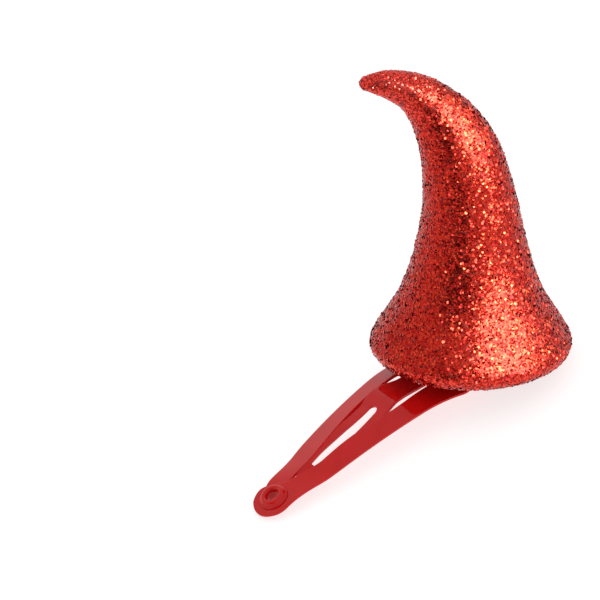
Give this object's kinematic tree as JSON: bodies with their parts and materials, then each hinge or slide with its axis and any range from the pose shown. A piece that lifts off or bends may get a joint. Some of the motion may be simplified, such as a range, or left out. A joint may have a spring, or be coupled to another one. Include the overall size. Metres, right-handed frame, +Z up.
{
  "type": "devil horn hair clip",
  "caption": "Hair clip with a curved glitter-coated foam devil horn glued upright on the wide end of a red enamelled snap clip, whose legs meet at a riveted eyelet round a slotted tongue.",
  "frame": {"origin": "on the table, under the middle of the whole part as it rests on its eyelet and the back of the horn's rim", "axes": "+Z up; -Y from the horn towards the eyelet; +X to the wearer's side of the clip where the top leg lies"},
  "size_m": [0.034, 0.0654, 0.0567],
  "materials": {
    "glitter_foam": "red glitter over foam",
    "red_enamel": "gloss enamel"
  },
  "bodies": {
    "clip": {"horn": "glitter_foam", "clip_frame": "red_enamel", "eyelet": "red_enamel"},
    "tongue": {"clip_tongue": "red_enamel"}
  },
  "joints": [
    {"name": "tongue_hinge", "type": "hinge", "parent": "clip", "child": "tongue", "pos_m": [-0.00111, 0.00843, 0.00566], "axis": [0.9997, 0.0073, 0.0248], "range_deg": [0, 20]}
  ]
}
